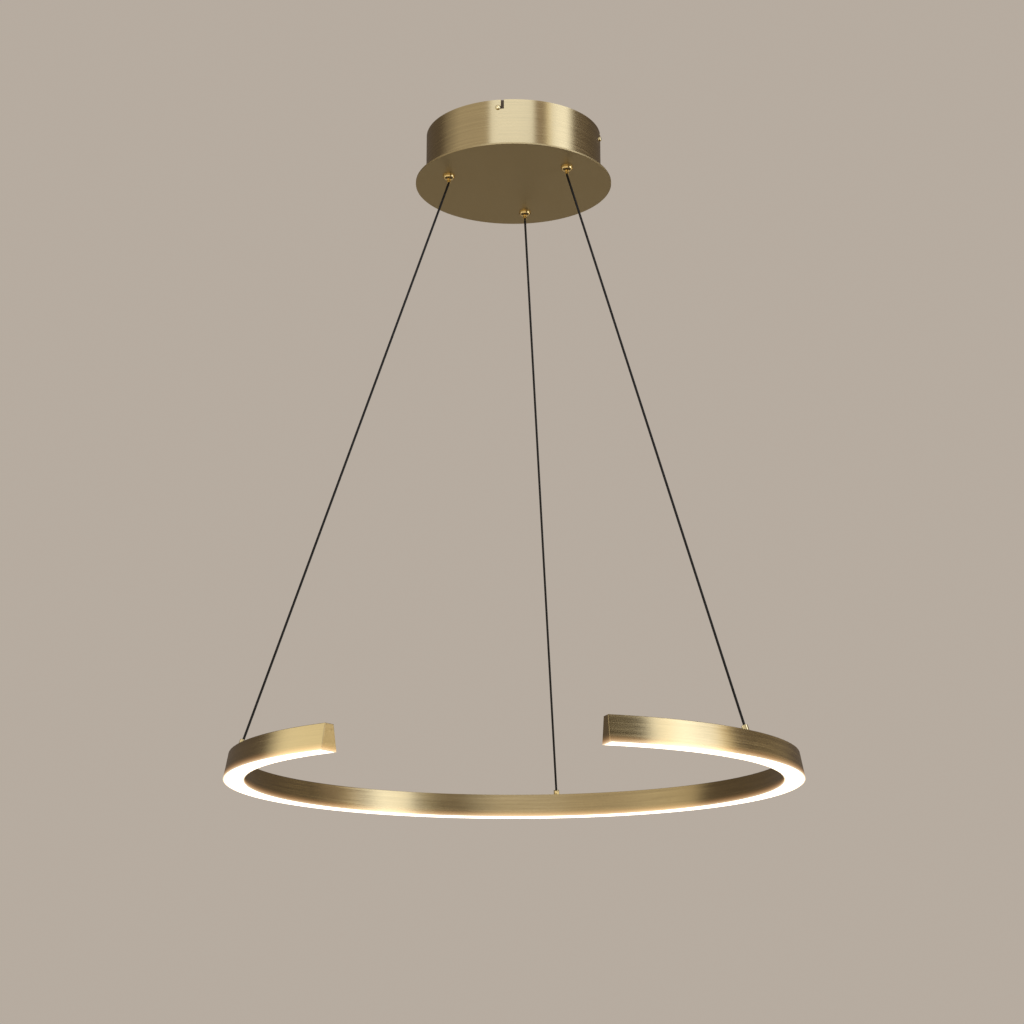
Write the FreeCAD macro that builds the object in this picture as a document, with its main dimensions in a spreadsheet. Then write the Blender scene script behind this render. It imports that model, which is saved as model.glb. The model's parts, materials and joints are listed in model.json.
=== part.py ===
# LED pendant light: an open ring of light, hung by three cables from a round ceiling canopy.
# Millimetres, +Z up. The origin is the centre of the ceiling bracket's top face.
# The ring's gap faces -Y. Stations round the axis are angles from -Y, positive towards +X.
import FreeCAD, Part
import math
import os
import Sketcher

Vector = FreeCAD.Vector

# Driving dimensions, in millimetres, degrees or counts
SIZES = {
    # fits shared by all pieces
    "thread_fit": 0.05,
    "slip_fit": 0.1,
    "cable_fit": 0.3,
    "rest_gap": 0.02,
    "cut_overrun": 1.0,
    # ceiling bracket: a cross with tabs bent down at its four tips
    "bracket_thick": 2.0,
    "bracket_arm_width": 24.0,
    "bracket_hub_radius": 26.0,
    "mains_hole_radius": 10.0,
    "grommet_bore_radius": 5.0,
    "grommet_collar": 2.0,
    "grommet_tall": 5.0,
    "tab_tall": 16.0,
    "tab_gap": 0.5,
    "ceiling_hole_spacing": 84.0,
    "ceiling_hole_radius": 2.5,
    "ceiling_slot_long": 24.0,
    "earth_place": 16.0,
    "earth_screw_radius": 2.0,
    "earth_head_radius": 4.0,
    "earth_head_tall": 2.8,
    "earth_socket_across": 3.0,
    # side screws in the housing's bayonet slots
    "side_screw_count": 4,
    "side_screw_drop": 9.5,
    "side_screw_radius": 1.5,
    "side_screw_long": 8.0,
    "side_head_radius": 2.8,
    "side_head_tall": 1.7,
    "side_head_round": 1.6,
    "side_head_gap": 0.25,
    "side_socket_across": 2.0,
    "side_socket_deep": 1.0,
    "slot_play": 0.2,
    "twist_turn": 2.9,
    # canopy housing and the wider disc under it
    "housing_radius": 98.0,
    "housing_wall": 1.2,
    "housing_floor": 1.2,
    "rim_gap": 0.3,
    "canopy_drop": 58.4,
    "disc_radius": 109.6,
    "disc_thick": 2.0,
    "disc_edge": 0.3,
    # cable grippers
    "gripper_inset": 20.3,
    "station_turn": 120.0,
    "dome_radius": 6.7,
    "dome_tall": 4.5,
    "dome_round": 3.9,
    "stud_radius": 5.0,
    "stud_tall": 20.0,
    "cap_radius": 3.7,
    "cap_tall": 4.0,
    "chamber_radius": 3.3,
    "cone_low": 3.0,
    "cone_tall": 5.0,
    "gripper_nut_across": 14.0,
    "gripper_nut_tall": 4.0,
    "gripper_washer_radius": 8.5,
    "gripper_washer_thick": 1.0,
    # release nozzle, clamp balls and spring
    "nozzle_radius": 2.1,
    "nozzle_reach": 8.0,
    "nozzle_collar": 0.25,
    "nozzle_ledge": 1.0,
    "nozzle_over_ball": 1.6,
    "ball_radius": 0.9,
    "ball_gap": 0.05,
    "ball_count": 3,
    "ball_window_fit": 0.1,
    "spring_wire_radius": 0.25,
    "spring_turns": 5,
    # cables
    "cable_radius": 1.25,
    "bend_drop": 0.6,
    "bend_gap": 0.05,
    "tail_rise": 20.0,
    "tail_inset": 6.0,
    "tail_bend": 11.0,
    "rear_tail_rise": 8.0,
    "stop_radius": 2.0,
    "stop_tall": 3.5,
    # LED driver
    "driver_long": 88.0,
    "driver_wide": 40.0,
    "driver_tall": 25.0,
    "driver_wall": 1.6,
    "driver_lip": 3.0,
    "driver_gap": 0.5,
    "ear_long": 10.0,
    "ear_wide": 12.0,
    "ear_thick": 2.5,
    "stud_over_nut": 1.0,
    "small_stud_radius": 1.5,
    "small_nut_across": 5.5,
    "small_nut_tall": 2.4,
    "board_thick": 1.6,
    "board_boss_tall": 3.0,
    "board_boss_radius": 3.0,
    "core_long": 18.0,
    "core_wide": 16.0,
    "core_tall": 14.0,
    "capacitor_radius": 5.0,
    "capacitor_tall": 15.0,
    # terminal block
    "block_long": 30.0,
    "block_wide": 16.0,
    "block_tall": 13.0,
    "block_rear": 25.0,
    "pole_pitch": 10.0,
    "pole_count": 3,
    "barrel_radius": 2.6,
    "barrel_bore": 1.3,
    "clamp_screw_radius": 1.4,
    "clamp_screw_tall": 3.0,
    "clamp_screw_place": 4.5,
    "lead_radius": 0.9,
    "lead_rise": 9.0,
    "lead_entry": 1.0,
    # housing earth: stud, ring tag, nut and lead
    "earth_stud_x": 32.0,
    "earth_stud_y": 2.0,
    "tag_radius": 3.5,
    "tag_thick": 0.8,
    "tag_barrel_radius": 1.3,
    "tag_barrel_long": 4.0,
    "tag_reach": 8.0,
    "earth_lead_run": 8.0,
    # ring
    "ring_drop": 731.3,
    "ring_radius": 300.4,
    "ring_bottom_width": 21.6,
    "ring_top_width": 12.0,
    "ring_tall": 26.0,
    "ring_edge": 0.4,
    "gap_turn": 53.5,
    "ring_wall": 1.2,
    "ring_top_thick": 2.0,
    "web_low": 13.0,
    "web_thick": 1.2,
    "groove_low": 4.5,
    "groove_tall": 1.2,
    "groove_deep": 0.6,
    "diffuser_thick": 2.0,
    "diffuser_fit": 0.1,
    "leg_thick": 1.0,
    "leg_tall": 6.0,
    "end_cap_thick": 1.8,
    "tongue_long": 8.0,
    "tongue_fit": 0.3,
    "strip_width": 10.0,
    "strip_thick": 0.3,
    "chip_long": 3.5,
    "chip_wide": 2.8,
    "chip_tall": 0.8,
    "chip_count": 60,
    # ferrules on the ring
    "ferrule_radius": 3.2,
    "ferrule_tall": 5.5,
    "ferrule_stud_radius": 2.2,
    "ferrule_stud_long": 5.5,
    "ferrule_mouth_radius": 2.3,
    "ferrule_mouth_deep": 1.8,
    "ferrule_edge": 0.4,
    "ferrule_nut_across": 7.0,
    "ferrule_nut_tall": 2.2,
    "feed_radius": 0.5,
    "feed_run": 14.0,
    "feed_hole_radius": 1.0,
}

# Shares of the sizes that they follow
SHANK_ROOT_SHARE = 0.25
SOCKET_SHARE = 0.5
SCREW_TIP_SHARE = 0.75
DRIVE_DEPTH_SHARE = 0.25
DRIVE_WIDTH_SHARE = 0.2
CAPACITOR_PLACE_SHARE = 0.6
LEAD_RUNS = 4
ARC_SHARE = 0.45
TOP_ARC_SHARE = 0.6

doc = FreeCAD.newDocument("pendant_light")
sheet = doc.addObject("Spreadsheet::Sheet", "Sizes")
for row, (alias, number) in enumerate(SIZES.items(), start=1):
    sheet.set("A%d" % row, alias)
    sheet.set("B%d" % row, str(number))
    sheet.setAlias("B%d" % row, alias)
doc.recompute()


class Size:
    """A size worked out from the sheet: its number, and the expression that binds it."""

    def __init__(self, number, text):
        self.number = number
        self.text = text

    def __add__(self, other):
        other = as_size(other)
        return Size(self.number + other.number, "(%s + %s)" % (self.text, other.text))

    def __sub__(self, other):
        other = as_size(other)
        return Size(self.number - other.number, "(%s - %s)" % (self.text, other.text))

    def __mul__(self, other):
        other = as_size(other)
        return Size(self.number * other.number, "(%s * %s)" % (self.text, other.text))

    def __truediv__(self, other):
        other = as_size(other)
        return Size(self.number / other.number, "(%s / %s)" % (self.text, other.text))

    def __neg__(self):
        return Size(-self.number, "(0 - %s)" % self.text)


def as_size(value):
    if isinstance(value, Size):
        return value
    return Size(float(value), repr(float(value)))


def sine(angle):
    return Size(math.sin(math.radians(angle.number)), "sin(%s * 1 deg)" % angle.text)


def cosine(angle):
    return Size(math.cos(math.radians(angle.number)), "cos(%s * 1 deg)" % angle.text)


def root(value):
    return Size(math.sqrt(value.number), "sqrt(%s)" % value.text)


class Sheet:
    """Every alias of the sheet as a Size."""

    def __getattr__(self, alias):
        return Size(float(SIZES[alias]), "Sizes.%s" % alias)


size = Sheet()
ZERO = Size(0.0, "0")


def bind(thing, prop, value):
    thing.setExpression(prop, as_size(value).text)


def place(thing, x=ZERO, y=ZERO, z=ZERO, turn=None, axis=Vector(0, 0, 1)):
    """Places a thing, turned about an axis through its own origin."""
    angle = 0.0 if turn is None else turn.number
    base = Vector(as_size(x).number, as_size(y).number, as_size(z).number)
    thing.Placement = FreeCAD.Placement(base, FreeCAD.Rotation(axis, angle))
    bind(thing, "Placement.Base.x", x)
    bind(thing, "Placement.Base.y", y)
    bind(thing, "Placement.Base.z", z)
    if turn is not None and "Sizes" in turn.text:
        bind(thing, "Placement.Rotation.Angle", turn)
    return thing


def cylinder(name, radius, low, high, x=ZERO, y=ZERO):
    thing = doc.addObject("Part::Cylinder", name)
    bind(thing, "Radius", radius)
    bind(thing, "Height", high - low)
    return place(thing, x, y, low)


def cross_cylinder(name, radius, long, x, y, z, axis, turn):
    """A cylinder laid down: its axis starts at a point and runs level."""
    thing = doc.addObject("Part::Cylinder", name)
    bind(thing, "Radius", radius)
    bind(thing, "Height", long)
    return place(thing, x, y, z, turn, axis)


def box(name, x, y, z, turn=None):
    """A box between two values along each axis, then turned about the main axis."""
    thing = doc.addObject("Part::Box", name)
    for prop, span in (("Length", x), ("Width", y), ("Height", z)):
        bind(thing, prop, span[1] - span[0])
    if turn is None:
        return place(thing, x[0], y[0], z[0])
    base_x = x[0] * cosine(turn) - y[0] * sine(turn)
    base_y = x[0] * sine(turn) + y[0] * cosine(turn)
    return place(thing, base_x, base_y, z[0], turn)


def hexagon(name, across, low, high, x=ZERO, y=ZERO, turn=None):
    """A six-sided prism by its size across the flats."""
    thing = doc.addObject("Part::Prism", name)
    thing.Polygon = 6
    bind(thing, "Circumradius", across / math.sqrt(3))
    bind(thing, "Height", high - low)
    return place(thing, x, y, low, turn)


def fuse(name, parts):
    thing = doc.addObject("Part::MultiFuse", name)
    thing.Shapes = parts
    return thing


def group(name, parts):
    thing = doc.addObject("Part::Compound", name)
    thing.Links = parts
    return thing


def cut(name, base, tools):
    tool = tools[0] if len(tools) == 1 else group(name + "_cuts", tools)
    thing = doc.addObject("Part::Cut", name)
    thing.Base = base
    thing.Tool = tool
    return thing


def round_edges(body, name, radius, test):
    """Rounds the edges of a body that pass a test."""
    doc.recompute()
    base = body.Tip
    picked = ["Edge%d" % i for i, edge in enumerate(base.Shape.Edges, start=1) if test(edge.BoundBox)]
    feature = body.newObject("PartDesign::Fillet", name)
    feature.Base = (base, picked)
    bind(feature, "Radius", radius)
    body.Tip = feature
    return body


def circle_at(radius, level):
    """Passes the level edges of a turned body that have a radius and a height."""
    near = size.rest_gap.number

    def test(bounds):
        low = abs(bounds.ZMin - level.number) < near
        high = abs(bounds.ZMax - level.number) < near
        return low and high and abs(bounds.XMax - radius.number) < near
    return test


def plane_of(body, role):
    return [feature for feature in body.Origin.OriginFeatures if feature.Role == role][0]


def outline(body, name, role, corners):
    """A closed sketch of straight edges. Each corner is a pair of Sizes from the sketch's origin."""
    sketch = body.newObject("Sketcher::SketchObject", name)
    sketch.AttachmentSupport = (plane_of(body, role), [""])
    sketch.MapMode = "FlatFace"
    count = len(corners)
    spots = [Vector(x.number, y.number, 0) for x, y in corners]
    for i in range(count):
        sketch.addGeometry(Part.LineSegment(spots[i], spots[(i + 1) % count]), False)
    for i in range(count):
        sketch.addConstraint(Sketcher.Constraint("Coincident", i, 2, (i + 1) % count, 1))
    for i, (x, y) in enumerate(corners):
        for kind, value, axis in (("DistanceX", x, -2), ("DistanceY", y, -1)):
            if value.text == "0":
                sketch.addConstraint(Sketcher.Constraint("PointOnObject", i, 1, axis))
                continue
            limit = sketch.addConstraint(Sketcher.Constraint(kind, -1, 1, i, 1, value.number))
            sketch.setExpression("Constraints[%d]" % limit, value.text)
    return sketch


def turned(name, corners, sweep=None):
    """A body turned about its own Z axis from an outline of radius and height."""
    body = doc.addObject("PartDesign::Body", name)
    sketch = outline(body, name + "_outline", "XZ_Plane", corners)
    feature = body.newObject("PartDesign::Revolution", name + "_turned")
    feature.Profile = sketch
    feature.ReferenceAxis = (sketch, ["V_Axis"])
    feature.Angle = 360
    if sweep is not None:
        feature.Angle = sweep.number
        bind(feature, "Angle", sweep)
    body.Tip = feature
    return body


def padded(name, role, corners, thick, backwards=False):
    """A body of an outline made as thick as given."""
    body = doc.addObject("PartDesign::Body", name)
    sketch = outline(body, name + "_outline", role, corners)
    feature = body.newObject("PartDesign::Pad", name + "_pad")
    feature.Profile = sketch
    feature.Reversed = backwards
    bind(feature, "Length", thick)
    body.Tip = feature
    return body


def solid(name, shape):
    """A shape made in this file's own code from the sheet's numbers."""
    thing = doc.addObject("Part::Feature", name)
    thing.Shape = shape
    return thing


def bent_tube(points, radius, bends):
    """A round tube along straight runs joined by tangent arcs, one bend radius for each inner point."""
    edges = []
    start = points[0]
    for before, corner, after, bend in zip(points, points[1:], points[2:], bends):
        come = (corner - before).normalize()
        leave = (after - corner).normalize()
        half = come.getAngle(leave) / 2
        reach = bend * math.tan(half)
        first = corner - come * reach
        last = corner + leave * reach
        inward = (leave - come).normalize()
        middle = corner + inward * (bend / math.cos(half) - bend)
        edges.append(Part.LineSegment(start, first).toShape())
        edges.append(Part.Arc(first, middle, last).toShape())
        start = last
    edges.append(Part.LineSegment(start, points[-1]).toShape())
    wire = Part.Wire(edges)
    tangent = (points[1] - points[0]).normalize()
    ring = Part.Wire([Part.makeCircle(radius, points[0], tangent)])
    tube = wire.makePipeShell([ring], True, True)
    expected = math.pi * radius ** 2 * wire.Length
    print("tube", round(tube.Volume, 2), "expected", round(expected, 2), "radii", bends)
    return tube


nodes = {}


def keep(name, thing):
    """Names a finished sub-part. Its label is the name of its file."""
    thing.Label = name
    nodes[name] = thing
    return thing


STATIONS = {
    "left": -(size.station_turn / 2),
    "right": size.station_turn / 2,
    "rear": size.station_turn * 3 / 2,
}


def station_x(radius, turn):
    return radius * sine(turn)


def station_y(radius, turn):
    return -(radius * cosine(turn))


# Levels and places shared by the pieces
disc_under = -size.canopy_drop
floor_under = disc_under + size.disc_thick
floor_top = floor_under + size.housing_floor
rim = -size.rim_gap
housing_inner = size.housing_radius - size.housing_wall
gripper_circle = housing_inner - size.gripper_inset
screw_level = -size.side_screw_drop
ring_under = -size.ring_drop
ring_top = ring_under + size.ring_tall
ring_middle = size.ring_radius - size.ring_bottom_width / 2
driver_half = size.driver_long / 2
driver_stud_x = driver_half + size.ear_long / 2
ear_half = size.ear_wide / 2
gripper_front = station_y(gripper_circle, STATIONS["right"]) - size.gripper_washer_radius
driver_middle = gripper_front - size.driver_gap - ear_half
tail_entry = driver_half - size.tail_inset


# Ceiling bracket: a cross plate, four tabs bent down with threaded holes, slots for the ceiling
def ceiling_bracket():
    half = size.bracket_arm_width / 2
    corner = housing_inner - size.tab_gap
    tip = root(corner * corner - half * half)
    under = -size.bracket_thick
    deep = -size.tab_tall
    parts = [cylinder("bracket_hub", size.bracket_hub_radius, under, ZERO)]
    cuts = [cylinder("bracket_mains_hole", size.mains_hole_radius, under - size.cut_overrun,
                     size.cut_overrun)]
    quarter = as_size(360) / size.side_screw_count
    for k in range(int(SIZES["side_screw_count"])):
        turn = quarter * k
        parts.append(box("bracket_arm_%d" % k, (-half, half), (-tip, ZERO), (under, ZERO), turn))
        parts.append(box("bracket_tab_%d" % k, (-half, half), (-tip, size.bracket_thick - tip),
                         (deep, ZERO), turn))
        start = tip + size.cut_overrun
        cuts.append(cross_cylinder(
            "tab_thread_%d" % k, size.side_screw_radius + size.thread_fit,
            size.bracket_thick + size.cut_overrun * 2,
            station_x(start, turn), station_y(start, turn), screw_level,
            Vector(-math.cos(math.radians(turn.number)), -math.sin(math.radians(turn.number)), 0),
            as_size(90)))
    place_x = size.ceiling_hole_spacing / 2
    run = size.ceiling_slot_long / 2 - size.ceiling_hole_radius
    for side in (-1, 1):
        near = place_x * side - run
        far = place_x * side + run
        for label, x in (("in", near), ("out", far)):
            cuts.append(cylinder("ceiling_slot_%s_%d" % (label, side + 1), size.ceiling_hole_radius,
                                 under - size.cut_overrun, size.cut_overrun, x))
        cuts.append(box("ceiling_slot_run_%d" % (side + 1), (near, far),
                        (-size.ceiling_hole_radius, size.ceiling_hole_radius),
                        (under - size.cut_overrun, size.cut_overrun)))
    cuts.append(cylinder("earth_thread", size.earth_screw_radius + size.thread_fit,
                         under - size.cut_overrun, size.cut_overrun, ZERO, -size.earth_place))
    keep("ceiling_bracket", cut("bracket_cut", fuse("bracket_solid", parts), cuts))


def mains_grommet():
    """A rubber bush in the bracket's cable hole, flush with the ceiling side."""
    under = -size.bracket_thick
    neck = size.mains_hole_radius - size.thread_fit
    body = turned("grommet_body", [
        (size.grommet_bore_radius, -size.grommet_tall),
        (neck + size.grommet_collar, -size.grommet_tall),
        (neck + size.grommet_collar, under),
        (neck, under),
        (neck, ZERO),
        (size.grommet_bore_radius, ZERO)])
    keep("mains_grommet", body)


# Side screws: round heads outside the housing, threaded into the tabs
def side_screws():
    quarter = as_size(360) / size.side_screw_count
    seat = size.housing_radius + size.side_head_gap
    screws = []
    for k in range(int(SIZES["side_screw_count"])):
        screw = turned("side_screw_%d" % k, [
            (ZERO, ZERO),
            (size.side_head_radius, ZERO),
            (size.side_head_radius, size.side_head_tall),
            (ZERO, size.side_head_tall)])
        round_edges(screw, "side_head_edge_%d" % k, size.side_head_round,
                    circle_at(size.side_head_radius, size.side_head_tall))
        shank = cylinder("side_shank_%d" % k, size.side_screw_radius,
                         -size.side_screw_long, size.side_head_tall * SHANK_ROOT_SHARE)
        socket = hexagon("side_socket_%d" % k, size.side_socket_across,
                         size.side_head_tall - size.side_socket_deep,
                         size.side_head_tall + size.cut_overrun)
        whole = cut("side_screw_cut_%d" % k, fuse("side_screw_solid_%d" % k, [screw, shank]), [socket])
        turn = quarter * k
        along = math.radians(turn.number)
        place(whole, station_x(seat, turn), station_y(seat, turn), screw_level, as_size(90),
              Vector(math.cos(along), math.sin(along), 0))
        screws.append(whole)
    keep("side_screws", group("side_screw_group", screws))


def earth_screw():
    under = -size.bracket_thick
    y = -size.earth_place
    head_low = under - size.earth_head_tall
    head = cylinder("earth_head", size.earth_head_radius, head_low, under, ZERO, y)
    socket_top = head_low + size.earth_head_tall * SOCKET_SHARE
    shank = cylinder("earth_shank", size.earth_screw_radius, socket_top, -size.slip_fit, ZERO, y)
    socket = hexagon("earth_socket", size.earth_socket_across, head_low - size.cut_overrun, socket_top,
                     ZERO, y)
    keep("earth_screw", cut("earth_cut", fuse("earth_solid", [head, shank]), [socket]))


# Canopy housing: an open cup with four bayonet slots, stud holes and welded studs
def canopy_housing():
    cup = turned("housing_cup", [
        (ZERO, floor_under),
        (size.housing_radius, floor_under),
        (size.housing_radius, rim),
        (housing_inner, rim),
        (housing_inner, floor_top),
        (ZERO, floor_top)])
    studs = []
    over = size.small_nut_tall + size.stud_over_nut
    stud_high = floor_top + size.ear_thick + over
    for k, x in enumerate((-driver_stud_x, driver_stud_x)):
        studs.append(cylinder("driver_stud_%d" % k, size.small_stud_radius, floor_under, stud_high,
                              x, driver_middle))
    block_high = floor_top + size.block_tall + over
    for k, x in enumerate((-(size.pole_pitch / 2), size.pole_pitch / 2)):
        studs.append(cylinder("block_stud_%d" % k, size.small_stud_radius, floor_under, block_high,
                              x, size.block_rear))
    studs.append(cylinder("housing_earth_stud", size.small_stud_radius, floor_under,
                          floor_top + size.tag_thick + over, size.earth_stud_x, size.earth_stud_y))
    half = size.side_screw_radius + size.slot_play
    wall_middle = size.housing_radius - size.housing_wall / 2
    shift = wall_middle * sine(size.twist_turn)
    reach = (-(size.housing_radius + size.cut_overrun), size.cut_overrun * 2 - housing_inner)
    quarter = as_size(360) / size.side_screw_count
    cuts = []
    for k in range(int(SIZES["side_screw_count"])):
        turn = quarter * k
        cuts.append(box("slot_down_%d" % k, (shift - half, shift + half), reach,
                        (screw_level - half, rim + size.cut_overrun), turn))
        cuts.append(box("slot_across_%d" % k, (ZERO, shift), reach,
                        (screw_level - half, screw_level + half), turn))
        along = math.radians(turn.number)
        start = size.housing_radius + size.cut_overrun
        cuts.append(cross_cylinder(
            "slot_end_%d" % k, half, size.housing_wall + size.cut_overrun * 2,
            station_x(start, turn), station_y(start, turn), screw_level,
            Vector(-math.cos(along), -math.sin(along), 0), as_size(90)))
    for name, turn in STATIONS.items():
        cuts.append(cylinder("housing_hole_" + name, size.stud_radius + size.slip_fit,
                             floor_under - size.cut_overrun, floor_top + size.cut_overrun,
                             station_x(gripper_circle, turn), station_y(gripper_circle, turn)))
    keep("canopy_housing", cut("housing_cut", fuse("housing_solid", [cup] + studs), cuts))


def canopy_disc():
    disc = turned("disc_plate", [
        (ZERO, disc_under),
        (size.disc_radius, disc_under),
        (size.disc_radius, floor_under),
        (ZERO, floor_under)])
    round_edges(disc, "disc_lower_edge", size.disc_edge, circle_at(size.disc_radius, disc_under))
    cuts = []
    for name, turn in STATIONS.items():
        cuts.append(cylinder("disc_hole_" + name, size.stud_radius + size.slip_fit,
                             disc_under - size.cut_overrun, floor_under + size.cut_overrun,
                             station_x(gripper_circle, turn), station_y(gripper_circle, turn)))
    keep("canopy_disc", cut("disc_cut", disc, cuts))


# Levels inside a gripper, from the disc's underside
ledge_level = -size.nozzle_ledge
nozzle_hole = size.nozzle_radius + size.slip_fit
nozzle_wide = size.nozzle_radius + size.nozzle_collar
bore_radius = nozzle_wide + size.slip_fit
cable_bore = size.cable_radius + size.cable_fit
cone_high = size.cone_low + size.cone_tall
cap_under = size.stud_tall - size.cap_tall
ball_place = size.cable_radius + size.ball_radius + size.ball_gap
cone_slope = (size.chamber_radius - bore_radius) / size.cone_tall
cone_slant = math.sqrt(1 + cone_slope.number ** 2)
ball_reach = ball_place + (size.ball_radius + size.ball_gap) * cone_slant
ball_level = size.cone_low + (ball_reach - bore_radius) / cone_slope
nozzle_top = ball_level + size.nozzle_over_ball


def gripper(name, turn):
    """Dome and threaded stud in one piece, bored for the nozzle, its cone and its spring."""
    x = station_x(gripper_circle, turn)
    y = station_y(gripper_circle, turn)
    body = turned("gripper_body_" + name, [
        (nozzle_hole, -size.dome_tall),
        (size.dome_radius, -size.dome_tall),
        (size.dome_radius, ZERO),
        (size.stud_radius, ZERO),
        (size.stud_radius, size.stud_tall),
        (size.cap_radius + size.thread_fit, size.stud_tall),
        (size.cap_radius + size.thread_fit, cap_under),
        (size.chamber_radius, cap_under),
        (size.chamber_radius, cone_high),
        (bore_radius, size.cone_low),
        (bore_radius, ledge_level),
        (nozzle_hole, ledge_level)])
    round_edges(body, "gripper_round_" + name, size.dome_round, circle_at(size.dome_radius, -size.dome_tall))
    place(body, x, y, disc_under)
    keep("gripper_" + name, body)

    cap = turned("gripper_cap_" + name, [
        (cable_bore, cap_under),
        (size.cap_radius, cap_under),
        (size.cap_radius, size.stud_tall),
        (cable_bore, size.stud_tall)])
    place(cap, x, y, disc_under)
    return cap


def release_nozzle(name, turn):
    """The tube that is pressed up to free the cable, with three windows for the clamp balls."""
    x = station_x(gripper_circle, turn)
    y = station_y(gripper_circle, turn)
    tube = turned("nozzle_tube_" + name, [
        (cable_bore, -size.nozzle_reach),
        (size.nozzle_radius, -size.nozzle_reach),
        (size.nozzle_radius, ledge_level + size.rest_gap),
        (nozzle_wide, ledge_level + size.rest_gap),
        (nozzle_wide, nozzle_top),
        (cable_bore, nozzle_top)])
    windows = []
    balls = []
    for k in range(int(SIZES["ball_count"])):
        at = as_size(360) / size.ball_count * k
        along = math.radians(at.number)
        windows.append(cross_cylinder(
            "ball_window_%s_%d" % (name, k), size.ball_radius + size.ball_window_fit,
            nozzle_wide + size.cut_overrun, ZERO, ZERO, ball_level,
            Vector(-math.sin(along), math.cos(along), 0), as_size(90)))
        ball = doc.addObject("Part::Sphere", "clamp_ball_%s_%d" % (name, k))
        bind(ball, "Radius", size.ball_radius)
        place(ball, x + ball_place * cosine(at), y + ball_place * sine(at), disc_under + ball_level)
        balls.append(ball)
    nozzle = cut("nozzle_cut_" + name, tube, windows)
    place(nozzle, x, y, disc_under)
    keep("release_nozzle_" + name, nozzle)
    keep("clamp_balls_" + name, group("ball_group_" + name, balls))


def gripper_spring(name, turn):
    """A coiled spring between the nozzle's top and the gripper's cap."""
    wire = size.spring_wire_radius.number
    low = (nozzle_top + size.rest_gap).number + wire
    high = (cap_under - size.rest_gap).number - wire
    middle = ((nozzle_wide + cable_bore) / 2).number
    turns = int(SIZES["spring_turns"])
    pitch = (high - low) / turns
    helix = Part.makeHelix(pitch, high - low, middle)
    ring = Part.Wire([Part.makeCircle(wire, Vector(middle, 0, 0), Vector(0, 1, 0))])
    coil = Part.Wire(helix.Edges).makePipeShell([ring], True, True)
    print("spring", name, "least gap between turns", round(pitch - wire * 2, 2))
    thing = solid("spring_coil_" + name, coil)
    thing.Placement = FreeCAD.Placement(
        Vector(station_x(gripper_circle, turn).number, station_y(gripper_circle, turn).number,
               disc_under.number + low), FreeCAD.Rotation())
    keep("gripper_spring_" + name, thing)


def gripper_fasteners():
    nuts = []
    washers = []
    seat = floor_top
    washer_top = seat + size.gripper_washer_thick
    nut_top = washer_top + size.gripper_nut_tall
    for name, turn in STATIONS.items():
        x = station_x(gripper_circle, turn)
        y = station_y(gripper_circle, turn)
        hole = size.stud_radius + size.thread_fit
        washers.append(cut("washer_" + name, cylinder(
            "washer_disc_" + name, size.gripper_washer_radius, seat, washer_top, x, y), [
            cylinder("washer_hole_" + name, hole, seat - size.cut_overrun, nut_top, x, y)]))
        nuts.append(cut("nut_" + name, hexagon(
            "nut_hex_" + name, size.gripper_nut_across, washer_top, nut_top, x, y), [
            cylinder("nut_hole_" + name, hole, seat, nut_top + size.cut_overrun, x, y)]))
    keep("gripper_nuts", group("gripper_nut_group", nuts))
    keep("gripper_washers", group("gripper_washer_group", washers))


# Cables: a free slanted stretch between two bends, a tail above and an end below
upper_bend = disc_under - size.nozzle_reach - size.bend_drop
cable_run = ring_middle - gripper_circle
cable_fall = upper_bend - ring_top
cable_slant = root(cable_run * cable_run + cable_fall * cable_fall)
cable_lean = Size(math.degrees(math.atan2(cable_run.number, cable_fall.number)),
                  "atan(%s / %s)" % (cable_run.text, cable_fall.text))
bend_reach = size.ferrule_tall - size.ferrule_mouth_deep
lower_radius = ring_middle - bend_reach * cable_run / cable_slant
lower_bend = ring_top + bend_reach * cable_fall / cable_slant
stop_top = ring_top - size.ferrule_stud_long
stop_under = stop_top - size.stop_tall


def suspension_cable(name, turn):
    start = Vector(0, -gripper_circle.number, upper_bend.number)
    end = Vector(0, -lower_radius.number, lower_bend.number)
    along = (end - start).normalize()
    free = (size.cable_radius + size.bend_gap).number
    length = (end - start).Length - 2 * free
    cable = Part.makeCylinder(size.cable_radius.number, length, start + along * free, along)
    thing = solid("cable_" + name, cable)
    thing.Placement = FreeCAD.Placement(Vector(0, 0, 0), FreeCAD.Rotation(Vector(0, 0, 1), turn.number))
    keep("suspension_cable_" + name, thing)
    print("cable", name, "between bends", round((end - start).Length, 2))


def tail_entry_x(turn):
    """Where a tail goes down through the driver's cover, at the end on its gripper's side."""
    return tail_entry * math.copysign(1, turn.number)


def cable_tail(name, turn):
    """From the bend under the nozzle, up through the gripper and down through the driver's cover."""
    radius = size.cable_radius.number
    x = station_x(gripper_circle, turn).number
    y = station_y(gripper_circle, turn).number
    low = Vector(x, y, upper_bend.number)
    stud_high = (disc_under + size.stud_tall).number
    if name == "rear":
        high = Vector(x, y, stud_high + size.rear_tail_rise.number)
        tube = Part.makeCylinder(radius, (high - low).Length, low, Vector(0, 0, 1))
    else:
        top = stud_high + size.tail_rise.number
        inner = Vector(tail_entry_x(turn).number, driver_middle.number, top)
        points = [low, Vector(x, y, top), inner, Vector(inner.x, inner.y, board_top.number)]
        bend = size.tail_bend.number
        tube = bent_tube(points, radius, [bend, bend])
    thing = solid("tail_" + name, tube.fuse(Part.makeSphere(radius, low)).removeSplitter())
    keep("cable_tail_" + name, thing)


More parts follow.
